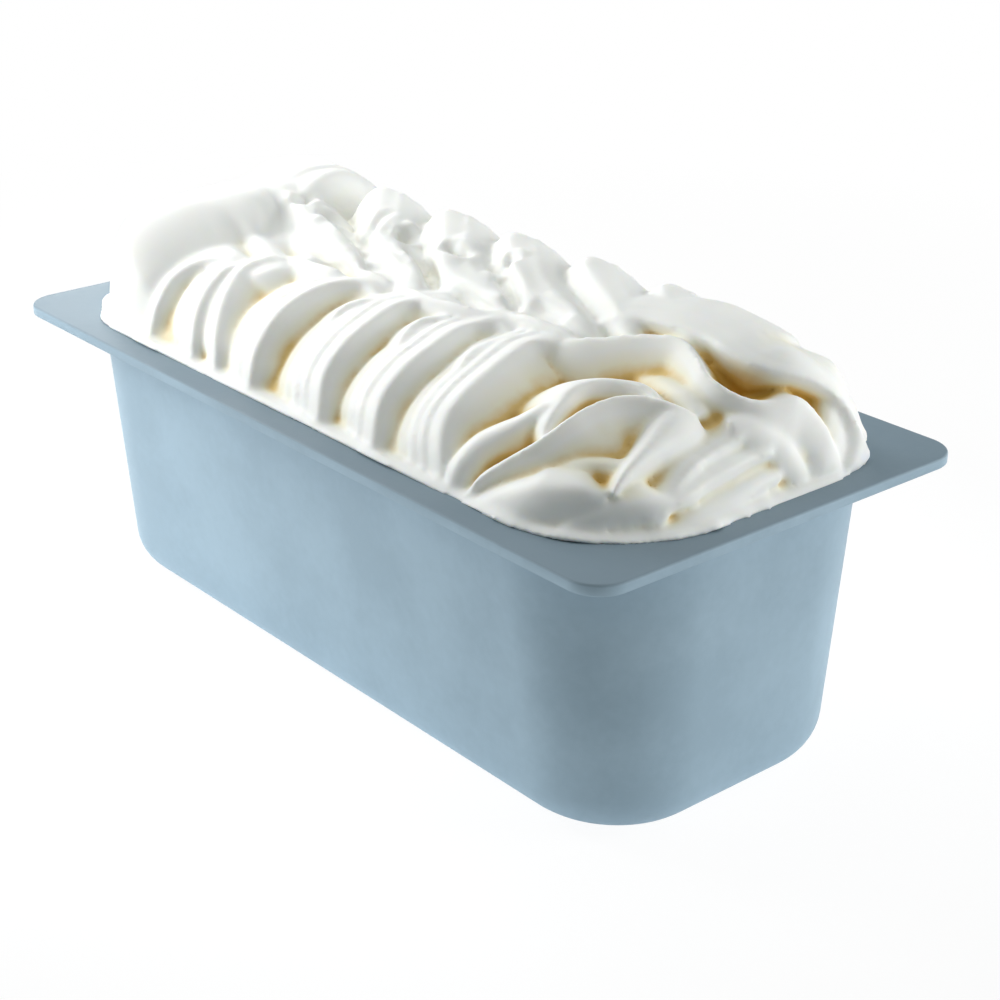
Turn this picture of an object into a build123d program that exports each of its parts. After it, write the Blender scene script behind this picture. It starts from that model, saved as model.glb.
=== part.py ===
from build123d import *
import os

import numpy as np

# An ice cream pan: a long moulded plastic pan with a flat flange, filled to the rim with
# white ice cream and heaped above it in folds. Two crossing rows of folds run along the
# pan and end in a swirl of ribbons at the +X end.
# Frame: origin at the middle of the base, +Z up, +X along the pan. All sizes in mm.

# ---- driving dimensions of the pan ----
PAN_LENGTH = 360.0  # flange, end to end
PAN_WIDTH = 180.0  # flange, side to side
PAN_HEIGHT = 120.0  # base to the top of the flange
WALL = 1.8
FLANGE_THICK = 2.2
FLANGE_CORNER = 13.5
FLANGE_EDGE_ROUND = 0.9
LIP_DEPTH = 4.2  # turned-down edge of the flange
LIP_THICK = 1.8
FLANGE_END = 10.5  # flange reach past the body at each end
FLANGE_SIDE = 12.5  # flange reach past the body at each long side
TAPER_END = 5.0  # how far each end wall leans in from rim to base
TAPER_SIDE = 12.0  # the same for each long wall
BODY_CORNER_TOP = 50.0
BODY_CORNER_BASE = 40.0
BASE_ROUND = 17.0
RIM_ROLL = 2.5  # round from the flange's top into the inner wall
NECK_ROUND = 2.0  # round under the flange, where it meets the body

# ---- driving dimensions of the ice cream ----
FILL_GAP = 0.2  # clearance between ice cream and wall
SHELF_NEAR = 5.0  # flat strip of ice cream at the rim, in front of the heap
SHELF_FAR = 3.0
SHELF_END = 1.0
HEAP_SINK = 3.0  # how deep the heap's skirt reaches into the fill
FRONT_CREST = 34.0  # crest height of the front row over the rim
CROWN = 47.0  # crest height of the back row over the rim
CROWN_RUN = 50.0  # run over which the heap climbs from the one to the other
CROWN_START = -20.0  # y where that climb starts
FRONT_FLANK = 55.0  # run of the rounded flank on each side
BACK_FLANK = 44.0
LEFT_FLANK = 22.0
RIGHT_FLANK = 30.0
EDGE_FLANK = 20.0  # the least run, all round the heap
CORNER_FLANK = 70.0  # the +X flank's run at the front corner, where the heap slopes down
CORNER_START = 10.0  # y where the +X flank starts to lengthen towards that corner
FOLD_PITCH = 34.2  # distance along the pan from one front fold to the next
FOLD_DEPTH = 9.0
FOLD_FACE = 11.0  # width of the steep +X face of a front fold
FOLD_BACK = 26.0  # width of its gentle -X back
RIB_DEPTH = 1.3  # finer ribs on that back
RIBS_PER_FOLD = 3
FOLD_POWER = 1.5  # how sharply a fold falls away from its crest
BRAID_REACH = 78.0  # how far each back fold sweeps along the pan to its tip
BRAID_LEAD = 1.85  # a back fold's tip, in pitches past the front fold that it starts beside
BRAID_CLIMB = 1.6  # how much further back each tip lies than the one before
BRAID_SHOULDER = 14.0  # how far behind the spine a back fold runs before its tip
BRAID_FRONT = 18.0  # width of a back fold's gentle side, towards the front
BRAID_REAR = 8.0  # width of its steep side
RIBBON_RIGHT = 12.0  # widths of a ribbon's two sides, to the right and left of its run
RIBBON_LEFT = 10.0

# ---- where the heap's parts meet ----
SPINE_Y = -14.0  # line on which the front folds and the back folds meet
FIRST_FOLD_INSET = 87.0  # from the pan's -X end to the first front fold
SWIRL_INSET = 106.0  # from the pan's +X end to where the swirl begins
FIRST_FOLD_X = FIRST_FOLD_INSET - PAN_LENGTH / 2
SWIRL_X = PAN_LENGTH / 2 - SWIRL_INSET
FOLD_COUNT = int((SWIRL_X - FIRST_FOLD_X) / FOLD_PITCH) + 2  # the last one starts the swirl

# Crest lines seen from above, each from its start to its tip: the ribbons of the swirl at
# the +X end, and the fan that turns the heap's -X end into the first front fold. Each point
# is its distance in from that end of the pan, and its place across a heap RIBBON_SPAN wide
# to each side, which is stretched to the pan's own width.
RIBBON_SPAN = 75.5
SWIRL_RIBBONS = {
    "upper": [(SWIRL_INSET, -5), (82, 6), (57, 8), (35, 0), (21, 12), (14, 35)],
    "outer": [(97, 14), (72, 17), (48, 19), (27, 26), (15, 44)],
    "rear": [(92, 40), (60, 42), (32, 48), (20, 60)],
    "arch": [(67, -46), (73, -31), (71, -17), (58, -11), (49, -13)],
    "broad": [(68, -71), (59, -57), (56, -43), (49, -28), (44, -22)],
    "petal": [(43, -26), (37, -37), (30, -52), (24, -61)],
    "corner": [(26, -52), (29, -36), (28, -19), (23, -7), (16, 12)],
    "low": [(15, -44), (18, -26), (17, -10), (14, 6)],
    "tail": [(30, -71), (20, -60), (17, -43)],
    "foot": [(73, -74), (50, -71), (26, -66)],
    "wedge": [(93, -72), (84, -61), (72, -51), (63, -53)],
}
FAN_RIBBONS = {
    "inner": [(58, -66), (56, -50), (68, -38), (90, -32)],
    "middle": [(42, -58), (43, -36), (62, -24), (92, -24)],
    "outer": [(30, -44), (34, -18), (56, -8), (102, -20)],
}

CREST_SAMPLES = 25  # points along each crest line
RIB_EDGE = 12.0  # run over which the ribs fade out
GRID_LONG = 96  # samples of the heap's surface along and across
GRID_WIDE = 40
LEAST_HEIGHT = 0.6  # of the heap's surface over the rim


# ---- pan ----
def body_section(z, inset):
    """Length, width and corner radius of the body at height z, drawn in by inset."""
    up = z / PAN_HEIGHT
    length = PAN_LENGTH - 2 * FLANGE_END - 2 * TAPER_END * (1 - up) - 2 * inset
    width = PAN_WIDTH - 2 * FLANGE_SIDE - 2 * TAPER_SIDE * (1 - up) - 2 * inset
    corner = BODY_CORNER_BASE + (BODY_CORNER_TOP - BODY_CORNER_BASE) * up - inset
    return length, width, min(corner, width / 2 - 1, length / 2 - 1)


def tapered_block(z_low, z_high, inset, base_round):
    """Solid between two heights that follows the body's taper, rounded at its base."""
    ends = []
    for z in (z_low, z_high):
        length, width, corner = body_section(z, inset)
        ends.append(Pos(0, 0, z) * RectangleRounded(length, width, corner))
    block = loft(ends, ruled=True)
    base_edges = block.faces().sort_by(Axis.Z)[0].edges()
    return fillet(base_edges, base_round)


def make_tub():
    """The pan: tapered body, flat flange with a turned-down lip, hollow inside."""
    outline = RectangleRounded(PAN_LENGTH, PAN_WIDTH, FLANGE_CORNER)
    lip_inner = RectangleRounded(
        PAN_LENGTH - 2 * LIP_THICK, PAN_WIDTH - 2 * LIP_THICK, FLANGE_CORNER - LIP_THICK
    )
    flange = Pos(0, 0, PAN_HEIGHT - FLANGE_THICK) * extrude(outline, FLANGE_THICK)
    lip = Pos(0, 0, PAN_HEIGHT - LIP_DEPTH) * extrude(outline - lip_inner, LIP_DEPTH)
    plate = flange + lip
    rim_edges = plate.faces().sort_by(Axis.Z)[-1].outer_wire().edges()
    plate = fillet(rim_edges, FLANGE_EDGE_ROUND)
    body = tapered_block(0, PAN_HEIGHT - FLANGE_THICK / 2, 0, BASE_ROUND)
    pan = plate + body
    underside = PAN_HEIGHT - FLANGE_THICK
    reach = PAN_LENGTH / 2 - FLANGE_END + NECK_ROUND / 2
    neck = [
        edge
        for edge in pan.edges().filter_by_position(Axis.Z, underside - 0.01, underside + 0.01)
        if abs(edge.center().X) < reach and edge.bounding_box().size.Z < 0.01
        and abs(edge.center().Y) < PAN_WIDTH / 2 - FLANGE_SIDE + NECK_ROUND / 2
    ]
    pan = fillet(neck, NECK_ROUND)
    hollow = tapered_block(WALL, PAN_HEIGHT + 1, WALL, BASE_ROUND - WALL)
    pan = pan - hollow
    opening = pan.faces().sort_by(Axis.Z)[-1].inner_wires()[0].edges()
    return fillet(opening, RIM_ROLL)


# ---- heap ----
def smooth_step(t):
    """0 to 1 with flat ends."""
    t = np.clip(t, 0, 1)
    return t * t * (3 - 2 * t)


def flank(distance, run):
    """Quarter ellipse: 0 at the heap's foot, 1 a run further in."""
    t = np.clip(distance / run, 0, 1)
    return np.sqrt(t * (2 - t))


def foot_size():
    """Half length, half width and corner radius of the fill's top, at the rim."""
    length, width, corner = body_section(PAN_HEIGHT, WALL + FILL_GAP)
    return length / 2, width / 2, corner


def edge_width(x, half_length, half_width, corner):
    """Half width of a rounded rectangle at x."""
    past = np.clip(np.abs(x) - (half_length - corner), 0, corner)
    return half_width - corner + np.sqrt(corner**2 - past**2)


def outline_gap(x, y, half_length, half_width, corner):
    """Distance in from the edge of a rounded rectangle."""
    past_x = np.abs(x) - (half_length - corner)
    past_y = np.abs(y) - (half_width - corner)
    outside = np.hypot(np.maximum(past_x, 0), np.maximum(past_y, 0))
    inside = np.minimum(np.maximum(past_x, past_y), 0)
    return corner - outside - inside


def crest_level(x, y):
    """Height over the rim of the surface that all the crests touch."""
    half_length, half_width, corner = foot_size()
    crown = FRONT_CREST + (CROWN - FRONT_CREST) * smooth_step((y - CROWN_START) / CROWN_RUN)
    front = flank(y + half_width, FRONT_FLANK)
    back = flank(half_width - y, BACK_FLANK)
    left = flank(x + half_length, LEFT_FLANK)
    frontward = smooth_step((CORNER_START - y) / half_width)
    run = RIGHT_FLANK + (CORNER_FLANK - RIGHT_FLANK) * frontward
    right = flank(half_length - x, run)
    around = flank(outline_gap(x, y, half_length, half_width, corner), EDGE_FLANK)
    return crown * np.minimum.reduce([front, back, left, right, around])


def ribbon_lines(ribbons, end):
    """Ribbons placed on the pan, where end is 1 at its +X end and -1 at its -X end."""
    _, half_width, _ = foot_size()
    stretch = half_width / RIBBON_SPAN
    placed = []
    for points in ribbons.values():
        line = [(end * (PAN_LENGTH / 2 - inset), across * stretch) for inset, across in points]
        placed.append((line, RIBBON_RIGHT, RIBBON_LEFT))
    return placed


def crest_lines():
    """Every crest as (points, width of its right side, width of its left side)."""
    _, half_width, _ = foot_size()
    lines = []
    for k in range(FOLD_COUNT):
        x = FIRST_FOLD_X + FOLD_PITCH * k
        lines.append(([(x, -half_width), (x, SPINE_Y - 4)], FOLD_FACE, FOLD_BACK))
    for k in range(-1, FOLD_COUNT):
        tip = FIRST_FOLD_X + FOLD_PITCH * (k + BRAID_LEAD)
        climb = BRAID_CLIMB * k
        sweep = [
            (tip - BRAID_REACH, half_width),
            (tip - BRAID_REACH, half_width * 0.45),
            (tip - BRAID_REACH * 0.62, half_width * 0.16 + climb),
            (tip - BRAID_REACH * 0.3, SPINE_Y + BRAID_SHOULDER + climb),
            (tip, SPINE_Y + climb),
        ]
        lines.append((sweep, BRAID_FRONT, BRAID_REAR))
    return lines + ribbon_lines(SWIRL_RIBBONS, 1) + ribbon_lines(FAN_RIBBONS, -1)


def drop_from(points, right_width, left_width, x, y):
    """How far the surface falls below the crest level beside one crest line."""
    line = Spline([(px, py, 0) for px, py in points]) if len(points) > 2 else Line(*points)
    samples = np.array([tuple(line @ u)[:2] for u in np.linspace(0, 1, CREST_SAMPLES)])
    nearest = np.full(x.shape, np.inf)
    side = np.ones(x.shape)
    for start, end in zip(samples[:-1], samples[1:]):
        run = end - start
        along = ((x - start[0]) * run[0] + (y - start[1]) * run[1]) / (run @ run)
        along = np.clip(along, 0, 1)
        off_x = x - start[0] - along * run[0]
        off_y = y - start[1] - along * run[1]
        gap = np.hypot(off_x, off_y)
        closer = gap < nearest
        nearest = np.where(closer, gap, nearest)
        side = np.where(closer, np.sign(run[0] * off_y - run[1] * off_x), side)
    width = np.where(side < 0, right_width, left_width)
    return FOLD_DEPTH * np.clip(nearest / width, 0, 1) ** FOLD_POWER


def heap_height(x, y):
    """Height of the folded surface over the rim."""
    drop = np.full(x.shape, FOLD_DEPTH)
    for points, right_width, left_width in crest_lines():
        drop = np.minimum(drop, drop_from(points, right_width, left_width, x, y))
    phase = (x - FIRST_FOLD_X) / FOLD_PITCH * RIBS_PER_FOLD
    front_row = smooth_step((SPINE_Y - y) / RIB_EDGE) * smooth_step((SWIRL_X - x) / RIB_EDGE)
    ribs = RIB_DEPTH * front_row * (0.5 - 0.5 * np.cos(2 * np.pi * phase)) * drop / FOLD_DEPTH
    level = crest_level(x, y)
    return level - (drop + ribs) * np.clip(level / FRONT_CREST, 0, 1)


def heap_grid():
    """Points of the folded surface, as rows along the pan and columns across it."""
    half_length, half_width, corner = foot_size()
    half_length -= SHELF_END
    near = half_width - SHELF_NEAR
    far = half_width - SHELF_FAR
    u = np.linspace(-1, 1, GRID_LONG)
    v = np.linspace(-1, 1, GRID_WIDE)
    x = half_length * (0.8 * u + 0.2 * np.sin(np.pi / 2 * u))
    low = edge_width(x, half_length, near, corner - SHELF_NEAR)
    high = edge_width(x, half_length, far, corner - SHELF_FAR)
    across = (1 + 0.7 * v + 0.3 * np.sin(np.pi / 2 * v)) / 2
    y_grid = -low[:, None] + across * (low + high)[:, None]
    x_grid = np.repeat(x[:, None], GRID_WIDE, axis=1)
    z_grid = PAN_HEIGHT + np.maximum(heap_height(x_grid, y_grid), LEAST_HEIGHT)
    return np.stack([x_grid, y_grid, z_grid], axis=-1)


def facets(top):
    """Triangles of a closed solid: the folded surface, a skirt below its edge and a foot."""
    foot = top.copy()
    foot[..., 2] = PAN_HEIGHT - HEAP_SINK
    triangles = []

    def add_quad(a, b, c, d):
        if np.linalg.norm(a - c) <= np.linalg.norm(b - d):
            triangles.extend([(a, b, c), (a, c, d)])
        else:
            triangles.extend([(a, b, d), (b, c, d)])

    long_cells, wide_cells = GRID_LONG - 1, GRID_WIDE - 1
    for i in range(long_cells):
        for j in range(wide_cells):
            add_quad(top[i, j], top[i + 1, j], top[i + 1, j + 1], top[i, j + 1])
        for j, step in ((0, 1), (wide_cells, -1)):
            first, last = (i, i + 1) if step > 0 else (i + 1, i)
            add_quad(foot[first, j], foot[last, j], top[last, j], top[first, j])
    for j in range(wide_cells):
        for i, step in ((0, -1), (long_cells, 1)):
            first, last = (j, j + 1) if step > 0 else (j + 1, j)
            add_quad(foot[i, first], foot[i, last], top[i, last], top[i, first])
    ring = [foot[i, 0] for i in range(long_cells)] + [foot[-1, j] for j in range(wide_cells)]
    ring += [foot[i, -1] for i in range(long_cells, 0, -1)]
    ring += [foot[0, j] for j in range(wide_cells, 0, -1)]
    return triangles, ring[::-1]


def make_heap():
    """Faceted solid under the folded surface, with a skirt that reaches into the fill."""
    triangles, ring = facets(heap_grid())
    faces = [Face(Wire.make_polygon([tuple(p) for p in corners])) for corners in triangles]
    faces.append(Face(Wire.make_polygon([tuple(p) for p in ring])))
    return Solid(Shell(faces))


def make_ice_cream():
    """Fill that takes the pan's inside up to the rim, with the heap on it."""
    fill = tapered_block(WALL, PAN_HEIGHT, WALL + FILL_GAP, BASE_ROUND - WALL)
    return fill + make_heap()


if __name__ == "__main__":
    os.makedirs("parts", exist_ok=True)
    export_step(make_tub(), "parts/tub.step")
    export_step(make_ice_cream(), "parts/ice_cream.step")
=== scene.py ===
"""Ice cream pan: a long moulded plastic pan, heaped with folded white ice cream."""

import bmesh
import bpy
import numpy as np
from mathutils import Matrix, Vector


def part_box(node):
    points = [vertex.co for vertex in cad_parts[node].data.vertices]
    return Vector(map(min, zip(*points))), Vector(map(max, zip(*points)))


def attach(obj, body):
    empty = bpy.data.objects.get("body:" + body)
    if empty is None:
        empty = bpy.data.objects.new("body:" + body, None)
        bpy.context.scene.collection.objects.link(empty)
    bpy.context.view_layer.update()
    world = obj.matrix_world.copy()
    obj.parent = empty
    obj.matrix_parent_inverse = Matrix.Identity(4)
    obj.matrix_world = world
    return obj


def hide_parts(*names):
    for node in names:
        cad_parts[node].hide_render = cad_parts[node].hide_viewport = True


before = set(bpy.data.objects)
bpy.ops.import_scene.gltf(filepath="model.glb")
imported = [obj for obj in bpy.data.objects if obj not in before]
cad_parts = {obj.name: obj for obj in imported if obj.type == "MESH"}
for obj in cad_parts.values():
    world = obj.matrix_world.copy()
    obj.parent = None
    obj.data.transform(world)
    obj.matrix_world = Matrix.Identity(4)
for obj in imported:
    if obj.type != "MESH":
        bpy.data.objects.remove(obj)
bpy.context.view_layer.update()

bl_info = {
    "name": "Ice Cream Pan",
    "version": (1, 0, 0),
    "blender": (4, 5, 0),
    "location": "View3D > Sidebar > Ice Cream Pan",
    "description": "Makes a display pan heaped with folded ice cream, and a plain stage for it",
    "category": "Add Mesh",
}

MM = 0.001
# The flange's half length and half width, and the height of its top, which is the pan's rim.
HALF_LENGTH, HALF_WIDTH, RIM = (float(value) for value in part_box("tub")[1])
WALL = 1.8 * MM


def linear(hex_colour):
    """Linear RGBA of an sRGB hex colour."""
    srgb = np.array([int(hex_colour[i : i + 2], 16) / 255 for i in (1, 3, 5)])
    low, high = srgb / 12.92, ((srgb + 0.055) / 1.055) ** 2.4
    return (*np.where(srgb <= 0.04045, low, high).tolist(), 1.0)


# ---------------------------------------------------------------- settings


class PanSettings(bpy.types.PropertyGroup):
    """Sizes and colours of the plastic pan."""

    wall: bpy.props.FloatProperty(name="Wall", description="Wall thickness", default=WALL, unit="LENGTH")
    flange_corner: bpy.props.FloatProperty(
        name="Flange corner", description="Corner radius of the flange", default=13.5 * MM,
        unit="LENGTH",
    )
    rim_roll: bpy.props.FloatProperty(
        name="Rim roll", description="Round from the flange into the wall", default=2.5 * MM,
        unit="LENGTH",
    )
    base_round: bpy.props.FloatProperty(
        name="Base round", description="Round between walls and base", default=17 * MM,
        unit="LENGTH",
    )
    colour: bpy.props.FloatVectorProperty(
        name="Colour", description="Colour of the plastic", default=linear("#97AEBD"), size=4,
        subtype="COLOR",
    )
    frost: bpy.props.FloatVectorProperty(
        name="Frost", description="Colour of its frosty bloom", default=linear("#A2B9C8"), size=4,
        subtype="COLOR",
    )
    # Painted shade: the flange's top is coloured darker for the heap's shadow on it.
    flange_shade_colour: bpy.props.FloatVectorProperty(
        name="Flange", description="Colour of the flange's top", default=linear("#80929E"), size=4,
        subtype="COLOR",
    )


class HeapSettings(bpy.types.PropertyGroup):
    """Sizes and colours of the ice cream."""

    front_crest: bpy.props.FloatProperty(
        name="Front crests", description="Height of the front folds over the rim",
        default=34 * MM, unit="LENGTH",
    )
    crown: bpy.props.FloatProperty(
        name="Crown", description="Height of the back folds over the rim", default=49 * MM,
        unit="LENGTH",
    )
    bulge: bpy.props.FloatProperty(
        name="Bulge", description="Height over the rim of the smooth -X end", default=44 * MM,
        unit="LENGTH",
    )
    voxel: bpy.props.FloatProperty(
        name="Grain", description="Cell size at which the folds melt together", default=1.2 * MM,
        unit="LENGTH",
    )
    colour: bpy.props.FloatVectorProperty(
        name="Colour", description="Colour of the ice cream", default=linear("#F5F6F3"), size=4,
        subtype="COLOR",
    )
    # The cream, crease and deep colours are painted shade: warm, darker colour on the folds' sides and in
    # their creases.
    cream: bpy.props.FloatVectorProperty(
        name="Cream", description="Colour on the sides of the folds", default=linear("#F1EEDB"),
        size=4, subtype="COLOR",
    )
    crease: bpy.props.FloatVectorProperty(
        name="Crease", description="Warm colour in shallow creases", default=linear("#DFC280"),
        size=4, subtype="COLOR",
    )
    deep: bpy.props.FloatVectorProperty(
        name="Deep crease", description="Colour in the deepest creases", default=linear("#C29A44"),
        size=4, subtype="COLOR",
    )


class StageSettings(bpy.types.PropertyGroup):
    """Camera."""

    azimuth: bpy.props.FloatProperty(
        name="Azimuth", description="Camera's turn about +Z from -Y", default=np.radians(50.74),
        subtype="ANGLE",
    )
    elevation: bpy.props.FloatProperty(
        name="Elevation", description="Camera's height angle", default=np.radians(24.34),
        subtype="ANGLE",
    )
    distance: bpy.props.FloatProperty(
        name="Distance", description="Camera to the pan's middle", default=0.8204, unit="LENGTH"
    )
    lens: bpy.props.FloatProperty(
        name="Lens", description="Focal length in mm", default=72.9, unit="CAMERA"
    )


# ---------------------------------------------------------------- shared mesh and node helpers


def grid_faces(rows, columns, start=0):
    """Quads of a grid of rows x columns points whose last column joins the first."""
    i, j = np.meshgrid(np.arange(rows - 1), np.arange(columns), indexing="ij")
    k = (j + 1) % columns
    quads = np.stack([i * columns + j, i * columns + k, (i + 1) * columns + k, (i + 1) * columns + j], -1)
    return quads.reshape(-1, 4) + start


def make_mesh(name, points, faces):
    """Mesh from an array of points and a list of faces."""
    mesh = bpy.data.meshes.new(name)
    mesh.from_pydata(np.asarray(points).reshape(-1, 3).tolist(), [], [tuple(f) for f in faces])
    mesh.validate()
    mesh.update()
    return mesh


def join_solids(name, solids):
    """One mesh of closed grids, each capped at both ends."""
    points, faces, start = [], [], 0
    for solid in solids:
        rows, columns = solid.shape[:2]
        points.append(solid.reshape(-1, 3))
        faces += grid_faces(rows, columns, start).tolist()
        faces += [list(range(start, start + columns))[::-1]]
        faces += [list(range(start + (rows - 1) * columns, start + rows * columns))]
        start += rows * columns
    return make_mesh(name, np.concatenate(points), faces)


def make_piece(name, mesh, material, node):
    """Adds the mesh as an object that rides on the body and stands for a CAD node."""
    mesh.polygons.foreach_set("use_smooth", np.ones(len(mesh.polygons), bool))
    piece = bpy.data.objects.new(name, mesh)
    bpy.context.collection.objects.link(piece)
    mesh.materials.append(material)
    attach(piece, "root")
    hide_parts(node)
    return piece


def add_node(tree, kind, links=None, **settings):
    """Adds a node, sets its properties and inputs, and links sockets into it by name or number."""
    node = tree.nodes.new(kind)
    for key, value in settings.items():
        if hasattr(node, key):
            setattr(node, key, value)
        else:
            node.inputs[key.replace("_", " ")].default_value = value
    for key, socket in (links or {}).items():
        tree.links.new(socket, node.inputs[key])
    return node


def new_material(name):
    """Material with its tree, its Principled shader and Object coordinates."""
    material = bpy.data.materials.new(name)
    material.use_nodes = True
    tree = material.node_tree
    shader = tree.nodes["Principled BSDF"]
    coords = add_node(tree, "ShaderNodeTexCoord").outputs["Object"]
    return material, tree, shader, coords


def blend_colours(tree, factor, low, high):
    """Colour output that goes from low to high as factor goes from 0 to 1."""
    node = add_node(tree, "ShaderNodeMix", data_type="RGBA")
    tree.links.new(factor, node.inputs["Factor"])
    for socket, value in ((node.inputs[6], low), (node.inputs[7], high)):
        if isinstance(value, bpy.types.NodeSocket):
            tree.links.new(value, socket)
        else:
            socket.default_value = tuple(value)
    return node.outputs[2]


def map_range(tree, value, low, high, to_low=0.0, to_high=1.0):
    """Value taken from low..high to to_low..to_high, held at the ends."""
    ends = {"From_Min": low, "From_Max": high, "To_Min": to_low, "To_Max": to_high}
    return add_node(tree, "ShaderNodeMapRange", {"Value": value}, **ends).outputs["Result"]


# ---------------------------------------------------------------- materials

CLOUD_SIZE = 45 * MM  # of the bloom on the pan
SPECK_SIZE = 4 * MM  # of its frost, drawn coarser than real frost so that it shows
RIPPLE_SIZE = 12 * MM  # of the ice cream's uneven gloss and tint
CRYSTAL_SIZE = 1.5 * MM  # of its grain, drawn coarser than real ice crystals so that it shows


def frosted_polypropylene(settings):
    """Polypropylene, injection moulded and cold from the freezer.

    It is satin, with a soft highlight; a thin frosty bloom clouds its colour and its gloss. The
    flange's top is painted darker, as painted shade: it stands for the heap's shadow on it and for
    its having no white ice cream behind it to shine through.
    """
    material, tree, shader, coords = new_material("frosted polypropylene")
    cloud = add_node(tree, "ShaderNodeTexNoise", {"Vector": coords}, Scale=1 / CLOUD_SIZE, Detail=4.0)
    speck = add_node(tree, "ShaderNodeTexNoise", {"Vector": coords}, Scale=1 / SPECK_SIZE, Detail=3.0)
    bloom = map_range(tree, cloud.outputs["Fac"], 0.38, 0.66)
    grain = map_range(tree, speck.outputs["Fac"], 0.35, 0.7, -0.15, 0.15)
    amount = add_node(tree, "ShaderNodeMath", {0: bloom, 1: grain}, operation="ADD", use_clamp=True)
    backed = blend_colours(tree, amount.outputs[0], settings.colour, settings.frost)
    height = add_node(tree, "ShaderNodeSeparateXYZ", {"Vector": coords}).outputs["Z"]
    # Painted shade: the flange's top, above the round of its edge, takes the darker flange colour.
    flange_top_shade = map_range(tree, height, RIM - 0.9 * MM, RIM - 0.1 * MM)
    tree.links.new(blend_colours(tree, flange_top_shade, backed, settings.flange_shade_colour), shader.inputs["Base Color"])
    tree.links.new(map_range(tree, amount.outputs[0], 0, 1, 0.5, 0.62), shader.inputs["Roughness"])
    shader.inputs["IOR"].default_value = 1.49
    shader.inputs["Specular IOR Level"].default_value = 0.25
    bump = add_node(
        tree, "ShaderNodeBump", {"Height": speck.outputs["Fac"]}, Strength=0.12, Distance=0.3 * MM
    )
    tree.links.new(bump.outputs["Normal"], shader.inputs["Normal"])
    return material


def dairy_ice_cream(settings):
    """White dairy ice cream, extruded soft and then frozen: matt, dense and a little see-into.

    Light that bounces in its creases comes out warm and dim, so the crease attribute paints it in:
    warm and darker painted shade on the folds' sides and in the creases.
    """
    material, tree, shader, coords = new_material("dairy ice cream")
    crease = add_node(tree, "ShaderNodeAttribute", attribute_name="crease").outputs["Fac"]
    ripple = add_node(tree, "ShaderNodeTexNoise", {"Vector": coords}, Scale=1 / RIPPLE_SIZE, Detail=3.0)
    uneven = map_range(tree, ripple.outputs["Fac"], 0.3, 0.7, 0.8, 1.2)
    depth = add_node(tree, "ShaderNodeMath", {0: crease, 1: uneven}, operation="MULTIPLY", use_clamp=True)
    colour = settings.colour
    # Painted shade: each warm, darker colour is laid on by the crease attribute's amount.
    for shade_tint, start, full in (
        (settings.cream, 0.03, 0.25), (settings.crease, 0.25, 0.55), (settings.deep, 0.55, 0.9)
    ):
        colour = blend_colours(tree, map_range(tree, depth.outputs[0], start, full), colour, shade_tint)
    tree.links.new(colour, shader.inputs["Base Color"])
    tree.links.new(map_range(tree, ripple.outputs["Fac"], 0.3, 0.7, 0.42, 0.56), shader.inputs["Roughness"])
    shader.inputs["IOR"].default_value = 1.36
    shader.inputs["Subsurface Weight"].default_value = 0.25
    shader.inputs["Subsurface Radius"].default_value = (1.0, 0.75, 0.45)
    shader.inputs["Subsurface Scale"].default_value = 2.5 * MM
    fine = add_node(tree, "ShaderNodeTexNoise", {"Vector": coords}, Scale=1 / CRYSTAL_SIZE, Detail=2.0)
    bump = add_node(
        tree, "ShaderNodeBump", {"Height": fine.outputs["Fac"]}, Strength=0.08, Distance=0.2 * MM
    )
    tree.links.new(bump.outputs["Normal"], shader.inputs["Normal"])
    return material


# ---------------------------------------------------------------- pan

FLANGE_THICK = 2.2 * MM
FLANGE_ROUND = 0.9 * MM
LIP_DEPTH = 4.2 * MM
LIP_THICK = 1.8 * MM
LIP_BEVEL = 0.4 * MM
FLANGE_END = 10.5 * MM
FLANGE_SIDE = 12.5 * MM
TAPER_END = 5 * MM
TAPER_SIDE = 12 * MM
BODY_CORNER_TOP = 50 * MM
BODY_CORNER_BASE = 40 * MM
NECK_ROUND = 2 * MM


def body_section(z, inset):
    """Half length, half width and corner radius of the tapered body at height z, drawn in by inset."""
    up = z / RIM
    half_length = HALF_LENGTH - FLANGE_END - TAPER_END * (1 - up) - inset
    half_width = HALF_WIDTH - FLANGE_SIDE - TAPER_SIDE * (1 - up) - inset
    corner = BODY_CORNER_BASE + (BODY_CORNER_TOP - BODY_CORNER_BASE) * up - inset
    return np.stack(np.broadcast_arrays(half_length, half_width, corner), -1)


def rounded_ring(section, per_corner=28, per_side=10):
    """Points of a rounded rectangle: four quarter circles joined by straight runs of even points.

    section holds half length, half width and corner radius, as rows; the result is rows of points.
    """
    a, b, r = (section[..., k, None] for k in range(3))
    angle = np.linspace(0, np.pi / 2, per_corner)
    xs, ys = [], []
    for k, (sx, sy) in enumerate(((1, 1), (-1, 1), (-1, -1), (1, -1))):
        turn = angle + k * np.pi / 2
        xs.append(sx * (a - r) + r * np.cos(turn))
        ys.append(sy * (b - r) + r * np.sin(turn))
    t = np.linspace(0, 1, per_side + 2)[1:-1]
    out_x, out_y = [], []
    for k in range(4):
        n = (k + 1) % 4
        out_x += [xs[k], xs[k][..., -1:] * (1 - t) + xs[n][..., :1] * t]
        out_y += [ys[k], ys[k][..., -1:] * (1 - t) + ys[n][..., :1] * t]
    return np.concatenate(out_x, -1), np.concatenate(out_y, -1)


def loft(rows):
    """Grid of points from rows of half length, half width, corner radius and height."""
    x, y = rounded_ring(rows[:, :3])
    return np.stack([x, y, np.broadcast_to(rows[:, 3, None], x.shape)], -1)


def shrunk_rings(edge, share):
    """Sections from the edge at share 0 to a slot on the middle line, 2% as wide, at share 1."""
    slot = np.array([edge[0] - edge[1] * 0.98, edge[1] * 0.02, edge[1] * 0.0195])
    rings = edge + (slot - edge) * share[:, None]
    rings[:, 2] = np.minimum(rings[:, 2], rings[:, 1] * 0.99)
    return rings


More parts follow.
